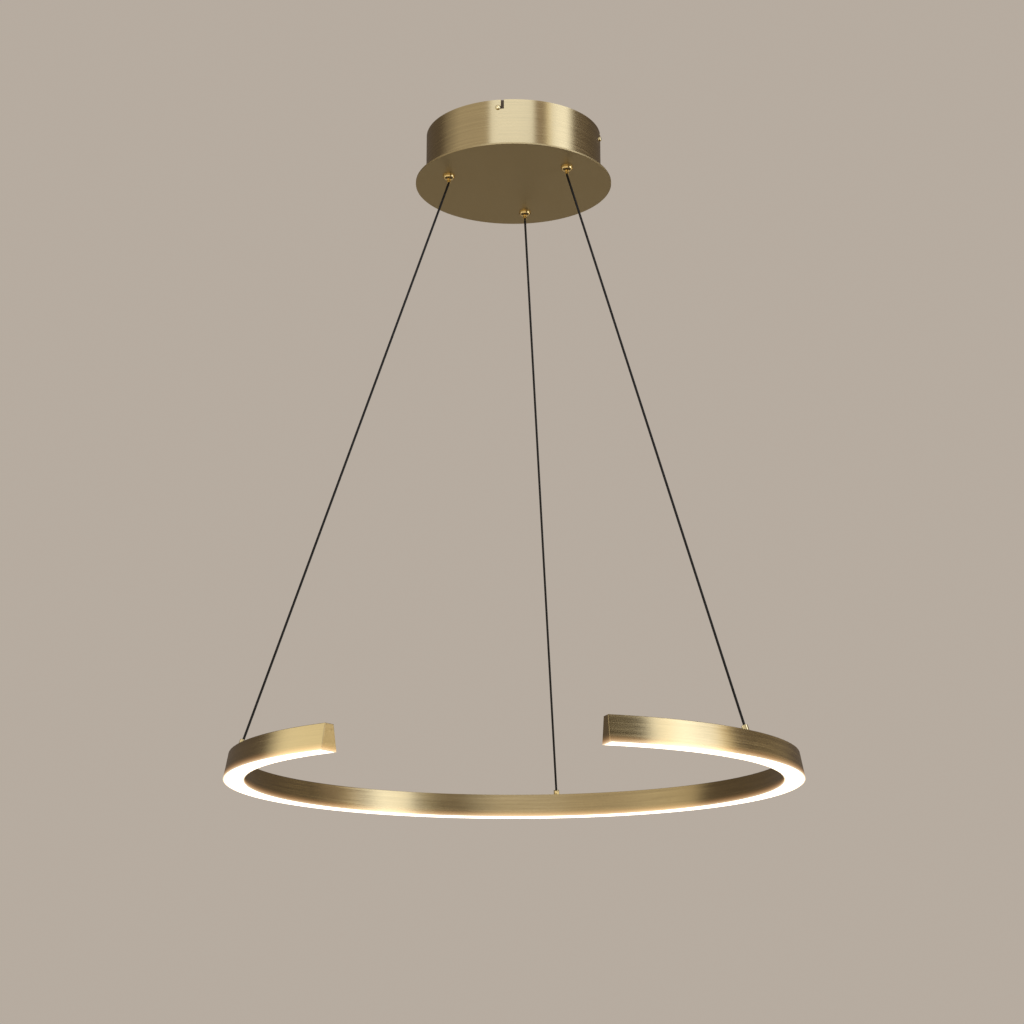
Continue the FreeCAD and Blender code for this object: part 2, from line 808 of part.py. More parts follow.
def rear_cable_stop():
    turn = STATIONS["rear"]
    x = station_x(gripper_circle, turn)
    y = station_y(gripper_circle, turn)
    low = disc_under + size.stud_tall + size.rear_tail_rise - size.stop_tall
    sleeve = cylinder("stop_sleeve", size.stop_radius, low, low + size.stop_tall + size.stop_radius / 2,
                      x, y)
    bore = cylinder("stop_bore", size.cable_radius + size.thread_fit, low - size.cut_overrun,
                    low + size.stop_tall + size.rest_gap, x, y)
    keep("rear_cable_stop", cut("stop_cut", sleeve, [bore]))


board_low = floor_top + size.driver_wall + size.board_boss_tall
board_top = board_low + size.board_thick


# LED driver: case with two ears, cover and circuit board
def inside_driver(inset):
    """The spans along X and Y of a box that lies inside the driver's sides by an inset."""
    half_wide = size.driver_wide / 2
    across = (inset - driver_half, driver_half - inset)
    deep = (driver_middle - half_wide + inset, driver_middle + half_wide - inset)
    return across, deep


def driver_case(cover_low):
    wall = size.driver_wall
    half_wide = size.driver_wide / 2
    low = floor_top
    case = box("case_block", *inside_driver(ZERO), (low, cover_low))
    hollow = box("case_hollow", *inside_driver(wall), (low + wall, cover_low + size.cut_overrun))
    ears = box("case_ears", (-(driver_half + size.ear_long), driver_half + size.ear_long),
               (driver_middle - ear_half, driver_middle + ear_half), (low, low + size.ear_thick))
    holes = [hollow]
    for k, x in enumerate((-driver_stud_x, driver_stud_x)):
        holes.append(cylinder("ear_hole_%d" % k, size.small_stud_radius + size.slip_fit,
                              low - size.cut_overrun, low + size.ear_thick + size.cut_overrun,
                              x, driver_middle))
    input_level = low + size.block_tall / 2
    for k, x in enumerate((-size.pole_pitch, ZERO)):
        holes.append(cross_cylinder(
            "case_entry_%d" % k, size.lead_radius + size.slip_fit, wall + size.cut_overrun * 2,
            x, driver_middle + half_wide - wall - size.cut_overrun, input_level,
            Vector(-1, 0, 0), as_size(90)))
    bosses = []
    across, deep = inside_driver(wall + size.board_boss_radius + size.slip_fit)
    for k, (x, y) in enumerate((x, y) for x in across for y in deep):
        bosses.append(cylinder("board_boss_%d" % k, size.board_boss_radius, low + wall / 2, board_low, x, y))
    shell = cut("case_shell", fuse("case_solid", [case, ears]), holes)
    keep("driver_case", fuse("case_with_bosses", [shell] + bosses))


def driver_cover(cover_low):
    wall = size.driver_wall
    lip_gap = wall + size.slip_fit
    lip_low = cover_low - size.driver_lip
    plate = box("cover_plate", *inside_driver(ZERO), (cover_low, cover_low + wall))
    lip = box("cover_lip", *inside_driver(lip_gap), (lip_low, cover_low))
    inside = box("cover_inside", *inside_driver(lip_gap + wall), (lip_low - size.cut_overrun, cover_low))
    cuts = [inside]
    for name in ("left", "right"):
        cuts.append(cylinder("cover_entry_" + name, size.cable_radius + size.slip_fit,
                             cover_low - size.cut_overrun, cover_low + wall + size.cut_overrun,
                             tail_entry_x(STATIONS[name]), driver_middle))
    keep("driver_cover", cut("cover_cut", fuse("cover_solid", [plate, lip]), cuts))


def driver_board():
    board = box("board_plate", *inside_driver(size.driver_wall + size.slip_fit), (board_low, board_top))
    core = box("transformer", (-size.core_long / 2, size.core_long / 2),
               (driver_middle - size.core_wide / 2, driver_middle + size.core_wide / 2),
               (board_top, board_top + size.core_tall))
    cans = []
    can_high = board_top + size.capacitor_tall
    for k, side in enumerate((-1, 1)):
        cans.append(cylinder("capacitor_%d" % k, size.capacitor_radius, board_top, can_high,
                             driver_half * side * CAPACITOR_PLACE_SHARE, driver_middle))
    keep("driver_board", fuse("board_solid", [board, core] + cans))


def small_nut(name, low, x, y):
    """A nut for the housing's welded studs."""
    high = low + size.small_nut_tall
    hole = cylinder(name + "_hole", size.small_stud_radius + size.thread_fit,
                    low - size.cut_overrun, high + size.cut_overrun, x, y)
    return cut(name, hexagon(name + "_hex", size.small_nut_across, low, high, x, y), [hole])


def led_driver():
    cover_low = floor_top + size.driver_tall - size.driver_wall
    driver_case(cover_low)
    driver_cover(cover_low)
    driver_board()
    seat = floor_top + size.ear_thick
    nuts = [small_nut("driver_nut_%d" % k, seat, x, driver_middle)
            for k, x in enumerate((-driver_stud_x, driver_stud_x))]
    keep("driver_nuts", group("driver_nut_group", nuts))


# Terminal block: three poles with brass barrels, two clamp screws each
def terminal_pole(k, x, cuts, screws):
    """One pole: its barrel and two screws. Its bores go to the block's cuts."""
    low = floor_top
    high = floor_top + size.block_tall
    level = low + size.block_tall / 2
    front = size.block_rear - size.block_wide / 2
    before = front - size.cut_overrun
    through = size.block_wide + size.cut_overrun * 2
    back = Vector(-1, 0, 0)
    cuts.append(cross_cylinder("pole_bore_%d" % k, size.barrel_radius + size.slip_fit, through,
                               x, before, level, back, as_size(90)))
    barrel = cross_cylinder("barrel_tube_%d" % k, size.barrel_radius, size.block_wide - size.lead_entry * 2,
                            x, front + size.lead_entry, level, back, as_size(90))
    taps = [cross_cylinder("barrel_bore_%d" % k, size.barrel_bore, through,
                           x, before, level, back, as_size(90))]
    radius = size.clamp_screw_radius
    low_tip = level + size.barrel_bore * SCREW_TIP_SHARE
    drive_half = radius * DRIVE_WIDTH_SHARE
    drive_low = low_tip + size.clamp_screw_tall * (1 - DRIVE_DEPTH_SHARE)
    for side in (-1, 1):
        label = "%d_%d" % (k, side + 1)
        y = size.block_rear + size.clamp_screw_place * side
        taps.append(cylinder("barrel_tap_" + label, radius + size.thread_fit, level, high, x, y))
        cuts.append(cylinder("screw_shaft_" + label, radius + size.slip_fit, level,
                             high + size.cut_overrun, x, y))
        screw = cylinder("clamp_screw_" + label, radius, low_tip, low_tip + size.clamp_screw_tall, x, y)
        drive = box("clamp_drive_" + label, (x - radius * 2, x + radius * 2),
                    (y - drive_half, y + drive_half), (drive_low, high + size.cut_overrun))
        screws.append(cut("clamp_screw_cut_" + label, screw, [drive]))
    return cut("barrel_%d" % k, barrel, taps)


def terminal_block():
    low = floor_top
    high = floor_top + size.block_tall
    half_long = size.block_long / 2
    half_wide = size.block_wide / 2
    block = box("block_solid", (-half_long, half_long),
                (size.block_rear - half_wide, size.block_rear + half_wide), (low, high))
    cuts = []
    screws = []
    barrels = []
    for k in range(int(SIZES["pole_count"])):
        x = size.pole_pitch * (k - (SIZES["pole_count"] - 1) / 2)
        barrels.append(terminal_pole(k, x, cuts, screws))
    nuts = []
    for k, x in enumerate((-(size.pole_pitch / 2), size.pole_pitch / 2)):
        cuts.append(cylinder("block_hole_%d" % k, size.small_stud_radius + size.slip_fit,
                             low - size.cut_overrun, high + size.cut_overrun, x, size.block_rear))
        nuts.append(small_nut("block_nut_%d" % k, high, x, size.block_rear))
    keep("terminal_block", cut("block_cut", block, cuts))
    keep("terminal_barrels", group("barrel_group", barrels))
    keep("terminal_screws", group("clamp_screw_group", screws))
    keep("terminal_nuts", group("block_nut_group", nuts))


def driver_leads():
    """Two mains leads from the terminal block, over a low bow, into the driver's case."""
    level = (floor_top + size.block_tall / 2).number
    rise = size.lead_rise.number
    radius = size.lead_radius.number
    start_y = (size.block_rear - size.block_wide / 2 + size.lead_entry).number
    end_y = (driver_middle + size.driver_wide / 2 - size.driver_wall).number
    run = (start_y - end_y) / LEAD_RUNS
    leads = []
    for x in (-size.pole_pitch, ZERO):
        points = [
            Vector(x.number, start_y, level),
            Vector(x.number, start_y - run, level),
            Vector(x.number, start_y - run * 2, level + rise),
            Vector(x.number, end_y + run, level),
            Vector(x.number, end_y, level)]
        turn = math.atan2(rise, run)
        bend = run * ARC_SHARE / math.tan(turn / 2)
        leads.append(bent_tube(points, radius, [bend, bend * TOP_ARC_SHARE, bend]))
    keep("driver_leads", solid("driver_lead_pair", Part.makeCompound(leads)))


# Housing earth: a ring tag and nut on the welded stud, and the lead from the third pole
def housing_earth():
    x = size.earth_stud_x
    y = size.earth_stud_y
    tag_top = floor_top + size.tag_thick
    barrel_level = floor_top + size.tag_barrel_radius
    barrel_x = x - size.tag_reach
    plate = fuse("tag_plate", [
        cylinder("tag_ring", size.tag_radius, floor_top, tag_top, x, y),
        box("tag_neck", (barrel_x + size.tag_barrel_long / 2, x),
            (y - size.tag_barrel_radius, y + size.tag_barrel_radius), (floor_top, tag_top)),
        cross_cylinder("tag_barrel", size.tag_barrel_radius, size.tag_barrel_long, barrel_x, y, barrel_level,
                       Vector(0, 1, 0), as_size(90))])
    hole = cylinder("tag_hole", size.small_stud_radius + size.slip_fit, floor_top - size.cut_overrun,
                    tag_top + size.cut_overrun, x, y)
    keep("earth_tag", cut("tag_cut", plate, [hole]))
    keep("earth_nut", small_nut("earth_nut_solid", tag_top, x, y))

    level = floor_top + size.block_tall / 2
    start_x = size.pole_pitch
    start_y = size.block_rear - size.block_wide / 2 + size.lead_entry
    run = size.earth_lead_run.number
    points = [
        Vector(start_x.number, start_y.number, level.number),
        Vector(start_x.number, start_y.number - run, level.number),
        Vector(barrel_x.number - run, y.number, barrel_level.number),
        Vector(barrel_x.number, y.number, barrel_level.number)]
    bends = []
    for before, corner, after in zip(points, points[1:], points[2:]):
        half = (corner - before).getAngle(after - corner) / 2
        bends.append(run * ARC_SHARE / math.tan(half))
    keep("earth_lead", solid("earth_lead_tube", bent_tube(points, size.lead_radius.number, bends)))


# Ring section, from its middle line and its underside
slope = (size.ring_bottom_width - size.ring_top_width) / 2 / size.ring_tall


def outer_half(height):
    """Half the ring's outer width at a height above its underside."""
    return size.ring_bottom_width / 2 - slope * height


def inner_half(height):
    return outer_half(height) - size.ring_wall


def mirrored(half):
    """A closed outline from the corners of its outer half, listed from bottom to top."""
    right = [(ring_middle + across, ring_under + up) for across, up in half]
    left = [(ring_middle - across, ring_under + up) for across, up in reversed(half)]
    return right + left


cap_turn = Size(math.degrees(math.atan2(SIZES["end_cap_thick"], ring_middle.number)),
                "(Sizes.end_cap_thick / %s * 180 / pi)" % ring_middle.text)
ring_sweep = as_size(360) - size.gap_turn - cap_turn * 2
ring_start = as_size(-90) + size.gap_turn / 2 + cap_turn
ring_end = ring_start + ring_sweep


def ring_channel():
    web_top = size.web_low + size.web_thick
    duct_top = size.ring_tall - size.ring_top_thick
    groove_top = size.groove_low + size.groove_tall
    outer = mirrored([(outer_half(ZERO), ZERO), (outer_half(size.ring_tall), size.ring_tall)])
    body = turned("channel_block", outer, ring_sweep)
    top_half = outer_half(size.ring_tall)
    for side in (-1, 1):
        round_edges(body, "channel_edge_%d" % (side + 1), size.ring_edge,
                    circle_at(ring_middle + top_half * side, ring_top))
    chamber = turned("channel_chamber", mirrored([
        (inner_half(-size.cut_overrun), -size.cut_overrun),
        (inner_half(size.groove_low), size.groove_low),
        (inner_half(size.groove_low) + size.groove_deep, size.groove_low),
        (inner_half(size.groove_low) + size.groove_deep, groove_top),
        (inner_half(groove_top), groove_top),
        (inner_half(size.web_low), size.web_low)]))
    duct = turned("channel_duct", mirrored([
        (inner_half(web_top), web_top),
        (inner_half(duct_top), duct_top)]))
    place(body, turn=ring_start)
    cuts = [chamber, duct]
    for name, turn in STATIONS.items():
        cuts.append(cylinder("ferrule_hole_" + name, size.ferrule_stud_radius + size.slip_fit,
                             ring_under + web_top + size.cut_overrun, ring_top + size.cut_overrun,
                             station_x(ring_middle, turn), station_y(ring_middle, turn)))
        if name != "rear":
            x, y = feed_spot(turn)
            cuts.append(cylinder("feed_hole_" + name, size.feed_hole_radius,
                                 ring_under + size.web_low - size.cut_overrun,
                                 ring_under + web_top + size.cut_overrun, x, y))
    keep("ring_channel", cut("channel_cut", body, cuts))


def feed_turn():
    """The turn along the ring from a ferrule to its feed hole."""
    return Size(math.degrees(SIZES["feed_run"] / ring_middle.number),
                "(Sizes.feed_run / %s * 180 / pi)" % ring_middle.text)


def feed_spot(turn):
    at = turn + feed_turn()
    return station_x(ring_middle, at), station_y(ring_middle, at)


def ring_diffuser():
    half = [(inner_half(ZERO) - size.diffuser_fit, ZERO)]
    nib_low = size.groove_low + size.diffuser_fit
    nib_high = size.groove_low + size.groove_tall - size.diffuser_fit

    def side(height):
        return inner_half(height) - size.diffuser_fit

    nib = size.groove_deep - size.diffuser_fit
    half += [
        (side(nib_low), nib_low),
        (side(nib_low) + nib, nib_low),
        (side(nib_high) + nib, nib_high),
        (side(nib_high), nib_high),
        (side(size.leg_tall), size.leg_tall),
        (side(size.leg_tall) - size.leg_thick, size.leg_tall),
        (side(size.diffuser_thick) - size.leg_thick, size.diffuser_thick)]
    body = turned("diffuser_profile", mirrored(half), ring_sweep)
    place(body, turn=ring_start)
    keep("ring_diffuser", body)


def led_strip():
    half = size.strip_width / 2
    low = size.web_low - size.strip_thick
    strip = turned("strip_profile", mirrored([(half, low), (half, size.web_low)]), ring_sweep)
    place(strip, turn=ring_start)
    keep("led_strip", strip)

    count = int(SIZES["chip_count"])
    half_wide = size.chip_wide / 2
    half_long = size.chip_long / 2
    chip_low = ring_under + low - size.chip_tall
    chips = []
    for k in range(count):
        turn = ring_start + ring_sweep * ((k + 0.5) / count)
        chips.append(box("chip_%d" % k, (ring_middle - half_wide, ring_middle + half_wide),
                         (-half_long, half_long), (chip_low, ring_under + low), turn))
    keep("led_chips", group("chip_group", chips))


def end_cap(name, turn, backwards):
    """A plate of the ring's own outline, with a tongue in the wire duct."""
    corners = mirrored([(outer_half(ZERO), ZERO), (outer_half(size.ring_tall), size.ring_tall)])
    plate = padded("cap_plate_" + name, "XZ_Plane", corners, size.end_cap_thick, backwards)
    face = size.end_cap_thick.number * (1 if backwards else -1)
    near = size.rest_gap.number
    round_edges(plate, "cap_edge_" + name, size.ring_edge,
                lambda bounds: abs(bounds.YMin - face) < near and abs(bounds.YMax - face) < near)
    low = size.web_low + size.web_thick + size.tongue_fit
    high = size.ring_tall - size.ring_top_thick - size.tongue_fit
    across = inner_half(high) - size.tongue_fit
    tongue = padded("cap_tongue_" + name, "XZ_Plane", mirrored([(across, low), (across, high)]),
                    size.tongue_long, not backwards)
    place(plate, turn=turn)
    place(tongue, turn=turn)
    keep("end_cap_" + name, fuse("cap_solid_" + name, [plate, tongue]))


# Cable ferrules, their nuts, and the cable ends in them
def cable_ferrule(name, turn):
    """A barrel that leans along its cable, on an upright stud through the ring's top."""
    x = station_x(ring_middle, turn)
    y = station_y(ring_middle, turn)
    tall = size.ferrule_tall
    wide = size.ferrule_radius
    along = math.radians(turn.number)
    barrel = turned("ferrule_barrel_" + name, [
        (cable_bore, -wide),
        (wide, -wide),
        (wide, tall),
        (size.ferrule_mouth_radius, tall),
        (cable_bore, tall - size.ferrule_mouth_deep)])
    round_edges(barrel, "ferrule_edge_" + name, size.ferrule_edge, circle_at(wide, tall))
    place(barrel, x, y, ring_top, cable_lean, Vector(-math.cos(along), -math.sin(along), 0))
    under = cylinder("ferrule_under_" + name, wide * 2, ring_top - wide * 2, ring_top, x, y)
    throat = cable_bore + size.slip_fit * 2
    stud = turned("ferrule_stud_" + name, [
        (throat, -size.ferrule_stud_long),
        (size.ferrule_stud_radius, -size.ferrule_stud_long),
        (size.ferrule_stud_radius, ZERO),
        (throat, ZERO)])
    place(stud, x, y, ring_top)
    body = fuse("ferrule_body_" + name, [cut("ferrule_trim_" + name, barrel, [under]), stud])
    keep("cable_ferrule_" + name, body)

    nut_high = ring_top - size.ring_top_thick
    nut_low = nut_high - size.ferrule_nut_tall
    hole = size.ferrule_stud_radius + size.thread_fit
    nut = hexagon("ferrule_nut_hex_" + name, size.ferrule_nut_across, nut_low, nut_high, x, y, turn)
    return cut("ferrule_nut_" + name, nut, [
        cylinder("ferrule_nut_hole_" + name, hole, nut_low - size.cut_overrun,
                 nut_high + size.cut_overrun, x, y)])


def cable_end(name, turn):
    """The cable's last stretch, from the ferrule's mouth down through its stud to a crimped stop."""
    x = station_x(ring_middle, turn).number
    y = station_y(ring_middle, turn).number
    radius = size.cable_radius.number
    top = Vector(station_x(lower_radius, turn).number, station_y(lower_radius, turn).number,
                 lower_bend.number)
    kink = Vector(x, y, ring_top.number)
    low = Vector(x, y, stop_top.number)
    upright = Part.makeCylinder(radius, kink.z - low.z, low, Vector(0, 0, 1))
    leaning = Part.makeCylinder(radius, (top - kink).Length, kink, top - kink)
    stop = Part.makeCylinder(size.stop_radius.number, size.stop_tall.number,
                             Vector(x, y, stop_under.number), Vector(0, 0, 1))
    rounds = [Part.makeSphere(radius, kink), Part.makeSphere(radius, top)]
    shape = upright.fuse([leaning, stop] + rounds).removeSplitter()
    keep("cable_end_" + name, solid("cable_end_solid_" + name, shape))


def feed_leads():
    """Thin leads from two cable ends, along the wire duct and down through the web to the LED strip."""
    radius = size.feed_radius.number
    level = (stop_under + size.stop_radius / 2).number
    web_under = (ring_under + size.web_low).number
    leads = []
    for name in ("left", "right"):
        turn = STATIONS[name]
        spot_x, spot_y = feed_spot(turn)
        down = Vector(spot_x.number, spot_y.number, level)
        centre = Vector(station_x(ring_middle, turn).number, station_y(ring_middle, turn).number, level)
        along = (down - centre).normalize()
        start = centre + along * (size.stop_radius + size.rest_gap).number
        end = Vector(down.x, down.y, web_under)
        bend = level - web_under
        leads.append(bent_tube([start, down, end], radius, [bend * ARC_SHARE]))
    keep("feed_leads", solid("feed_lead_pair", Part.makeCompound(leads)))


ceiling_bracket()
mains_grommet()
side_screws()
earth_screw()
canopy_housing()
canopy_disc()
caps = [gripper(name, turn) for name, turn in STATIONS.items()]
keep("gripper_caps", group("gripper_cap_group", caps))
gripper_fasteners()
ferrule_nuts = []
for station, station_angle in STATIONS.items():
    release_nozzle(station, station_angle)
    gripper_spring(station, station_angle)
    suspension_cable(station, station_angle)
    cable_tail(station, station_angle)
    ferrule_nuts.append(cable_ferrule(station, station_angle))
    cable_end(station, station_angle)
keep("ferrule_nuts", group("ferrule_nut_group", ferrule_nuts))
rear_cable_stop()
led_driver()
terminal_block()
driver_leads()
housing_earth()
ring_channel()
ring_diffuser()
led_strip()
end_cap("right", ring_start, False)
end_cap("left", ring_end, True)
feed_leads()

doc.recompute()
faults = [thing.Name for thing in doc.Objects if {"Invalid", "Error"} & set(thing.State)]
for name, thing in nodes.items():
    if thing.Shape.isNull() or not thing.Shape.isValid():
        faults.append(name)
if faults:
    raise SystemExit("failed: " + ", ".join(faults))
os.makedirs("parts", exist_ok=True)
for name, thing in nodes.items():
    thing.Shape.exportStep("parts/%s.step" % name)
    print(name, len(thing.Shape.Solids), round(thing.Shape.Volume, 1))
print(len(nodes), "nodes")
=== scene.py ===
# Looks of the LED pendant light: finishes, the three suspension cables, springs, studio and camera.
# Metres, +Z up, origin at the centre of the ceiling bracket's top face.
import json
import math

import bpy
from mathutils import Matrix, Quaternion, Vector


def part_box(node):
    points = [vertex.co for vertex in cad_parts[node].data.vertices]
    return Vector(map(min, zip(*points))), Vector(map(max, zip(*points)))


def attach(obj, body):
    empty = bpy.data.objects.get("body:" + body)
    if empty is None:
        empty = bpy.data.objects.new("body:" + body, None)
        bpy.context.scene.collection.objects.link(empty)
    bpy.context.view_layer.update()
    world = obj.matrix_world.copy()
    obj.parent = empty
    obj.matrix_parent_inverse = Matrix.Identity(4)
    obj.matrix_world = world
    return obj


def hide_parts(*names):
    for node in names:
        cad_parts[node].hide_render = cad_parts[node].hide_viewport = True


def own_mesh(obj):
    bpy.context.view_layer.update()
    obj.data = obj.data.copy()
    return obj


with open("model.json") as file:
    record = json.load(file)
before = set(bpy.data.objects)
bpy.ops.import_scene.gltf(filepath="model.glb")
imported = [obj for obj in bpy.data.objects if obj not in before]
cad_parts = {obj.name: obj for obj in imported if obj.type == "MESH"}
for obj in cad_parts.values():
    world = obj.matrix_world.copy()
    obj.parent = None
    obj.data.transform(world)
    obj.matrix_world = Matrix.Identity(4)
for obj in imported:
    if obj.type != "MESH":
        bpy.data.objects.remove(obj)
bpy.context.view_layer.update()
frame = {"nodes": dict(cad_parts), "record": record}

MM = 0.001
UP = Vector((0.0, 0.0, 1.0))
SIDEWAYS = Vector((1.0, 0.0, 0.0))

# Cable routes, as in the model: from the bend under each nozzle towards the foot of its ferrule,
# and down into the ferrule's mouth. Each pair is a distance from the axis and a level. The ends
# stay clear of the bends, and run straight for a steady stretch.
STATIONS = {"left": -60.0, "right": 60.0, "rear": 180.0}
UPPER_BEND = (76.5 * MM, -67.0 * MM)
FERRULE_FOOT = (289.6 * MM, -705.3 * MM)
FERRULE_REACH = 3.7 * MM
CABLE_DIAMETER = 2.5 * MM
BEND_CLEAR = 1.3 * MM
ROUTE_STEADY = 12.0 * MM
ROUTE_ORDER = 3
CABLE_SIDES = 20
CABLE_RINGS = 48
TOO_UPRIGHT = 0.05

# Gripper springs
SPRING_WIRE = 0.25 * MM
SPRING_TURNS = 5
SPRING_SIDES = 10
SPRING_STEPS = 32

# Camera, fitted to the photograph: degrees, metres, and millimetres of lens
CAMERA_SIDE = 9.95
CAMERA_PITCH = 15.07
CAMERA_ROLL = -0.05
CAMERA_AWAY = 2180.3 * MM
CAMERA_LEFT = 2.0 * MM
CAMERA_LEVEL = -1025.1 * MM
CAMERA_LENS = 73.753
CAMERA_SENSOR = 36.0
CAMERA_NEAR = 0.01
CAMERA_FAR = 100.0

# Studio
WORLD_COLOUR = (0.47, 0.41, 0.35)
LAMP_TINT = (1.0, 0.98, 0.94)
LAMP_AIM = Vector((0.0, 0.0, -0.4))
LAMP_AWAY = 2.9
PANEL_STEPS = 48
PANEL_RISES = 24
FLOOR_LEVEL = -2.5
FLOOR_RADIUS = 80.0
FLOOR_SIDES = 96
FLOOR_DARK = (0.80, 0.78, 0.75)
FLOOR_LIGHT = (0.84, 0.82, 0.79)
FLOOR_CLOUD = 1.5
FLOOR_ROUGH = 0.85

# Marks on the finishes: scales of the noise per metre, the part of its range that is used, the share
# of the finer of two noises, tints that darken and lighten the colour, and swings of the roughness
NOISE_USED = (0.3, 0.7)
BRUSHED_FINE = (14.0, 1700.0)
BRUSHED_BROAD = (9.0, 420.0)
BRUSHED_FINE_SHARE = 0.55
BRUSHED_TINTS = (0.84, 1.12)
BRUSHED_ROUGH = (-0.05, 0.06)
SATIN_CLOUD = 22.0
SATIN_FINE_SHARE = 0.6
SATIN_SWINGS = (-0.12, 0.08)
SATIN_ROUGH = (-0.04, 0.05)
POLISHED_SMUDGE = 260.0
POLISHED_RINGS = (300.0, 300.0, 5200.0)
POLISHED_TINT = 0.94
POLISHED_ROUGH = (-0.03, 0.06)
MOULDED_CLOUD = 40.0
MOULDED_TINTS = (0.92, 1.05)
MOULDED_ROUGH = (-0.06, 0.06)

# Cable and diffuser
CABLE_LAY = (1500.0, 1500.0, 500.0)
CABLE_TINTS = (0.7, 1.5)
CABLE_GLOSS = (0.38, 0.55)
CABLE_SPECULAR = 0.3
OPAL_CLOUD = 30.0
OPAL_GRAIN = 1200.0
OPAL_GLOSS = 0.45
OPAL_TINT = 0.98
OPAL_GLOW_SWING = 0.03

# Painted glow: a warm emission painted into the metal beside the diffuser, a stand-in for the diffuser's
# light on it
PAINTED_GLOW_EDGE = (1.0, 0.80, 0.56)
PAINTED_GLOW_FADED = (1.0, 0.52, 0.22)
PAINTED_GLOW_TINT_POWER = 6.0
PAINTED_GLOW_POWER = 3.0


# Node helpers
def material(name):
    """A node material with one shader, linked to its output."""
    mat = bpy.data.materials.new(name)
    mat.use_nodes = True
    tree = mat.node_tree
    tree.nodes.clear()
    shader = tree.nodes.new("ShaderNodeBsdfPrincipled")
    output = tree.nodes.new("ShaderNodeOutputMaterial")
    tree.links.new(shader.outputs[0], output.inputs["Surface"])
    return mat, tree, shader


def feed(tree, socket, value):
    """Sets a socket to a number or a tuple, or links it to another node's output."""
    if isinstance(value, (int, float, tuple)):
        socket.default_value = value
    else:
        tree.links.new(value, socket)


def math_node(tree, operation, a, b):
    node = tree.nodes.new("ShaderNodeMath")
    node.operation = operation
    feed(tree, node.inputs[0], a)
    feed(tree, node.inputs[1], b)
    return node.outputs[0]


def vector_node(tree, operation, *values):
    node = tree.nodes.new("ShaderNodeVectorMath")
    node.operation = operation
    for socket, value in zip(node.inputs, values):
        feed(tree, socket, value)
    return node


def combine(tree, x, y, z):
    node = tree.nodes.new("ShaderNodeCombineXYZ")
    for socket, value in zip(node.inputs, (x, y, z)):
        feed(tree, socket, value)
    return node.outputs[0]


def object_place(tree):
    return tree.nodes.new("ShaderNodeTexCoord").outputs["Object"]


def noise(tree, vector, scale, detail, roughness):
    node = tree.nodes.new("ShaderNodeTexNoise")
    node.inputs["Scale"].default_value = scale
    node.inputs["Detail"].default_value = detail
    node.inputs["Roughness"].default_value = roughness
    tree.links.new(vector, node.inputs["Vector"])
    return node.outputs[0]


def stretched_noise(tree, place, stretch, detail, roughness):
    """Noise with a scale of its own along each of the three directions."""
    stretched = vector_node(tree, "MULTIPLY", place, stretch).outputs[0]
    return noise(tree, stretched, 1.0, detail, roughness)


def mixed(tree, fine, other, fine_share):
    return math_node(tree, "ADD", math_node(tree, "MULTIPLY", fine, fine_share),
                     math_node(tree, "MULTIPLY", other, 1.0 - fine_share))


def span(tree, value, low, high, used=(0.0, 1.0)):
    """Maps the used part of a value's range to low and high."""
    node = tree.nodes.new("ShaderNodeMapRange")
    node.inputs["From Min"].default_value = used[0]
    node.inputs["From Max"].default_value = used[1]
    node.inputs["To Min"].default_value = low
    node.inputs["To Max"].default_value = high
    tree.links.new(value, node.inputs["Value"])
    return node.outputs[0]


def blend_colour(tree, factor, a, b):
    node = tree.nodes.new("ShaderNodeMix")
    node.data_type = "RGBA"
    tree.links.new(factor, node.inputs["Factor"])
    for name, value in (("A", a), ("B", b)):
        socket = [s for s in node.inputs if s.name == name and s.type == "RGBA"][0]
        socket.default_value = (*value, 1.0)
    return [s for s in node.outputs if s.type == "RGBA"][0]


def times(colour, tint):
    return tuple(min(1.0, c * tint) for c in colour)


def uneven_rough(tree, shader, marks, rough, swings, used=(0.0, 1.0)):
    """A roughness that swings with the marks, below and above its own value."""
    low, high = swings
    tree.links.new(span(tree, marks, rough + low, rough + high, used), shader.inputs["Roughness"])


def bump(tree, shader, height, distance, strength):
    node = tree.nodes.new("ShaderNodeBump")
    node.inputs["Strength"].default_value = strength
    node.inputs["Distance"].default_value = distance
    tree.links.new(height, node.inputs["Height"])
    tree.links.new(node.outputs[0], shader.inputs["Normal"])


# Finishes
def add_painted_glow(tree, shader, z, level, depth, strength):
    """Painted glow: an emission in the metal that fades up from a level over its lowest edge, a stand-in for
    the diffuser's light.
    """
    fall = span(tree, z, 1.0, 0.0, (level, level + depth))
    tint = math_node(tree, "POWER", fall, PAINTED_GLOW_TINT_POWER)
    tree.links.new(blend_colour(tree, tint, PAINTED_GLOW_FADED, PAINTED_GLOW_EDGE), shader.inputs["Emission Color"])
    fading = math_node(tree, "POWER", fall, PAINTED_GLOW_POWER)
    tree.links.new(math_node(tree, "MULTIPLY", fading, strength), shader.inputs["Emission Strength"])


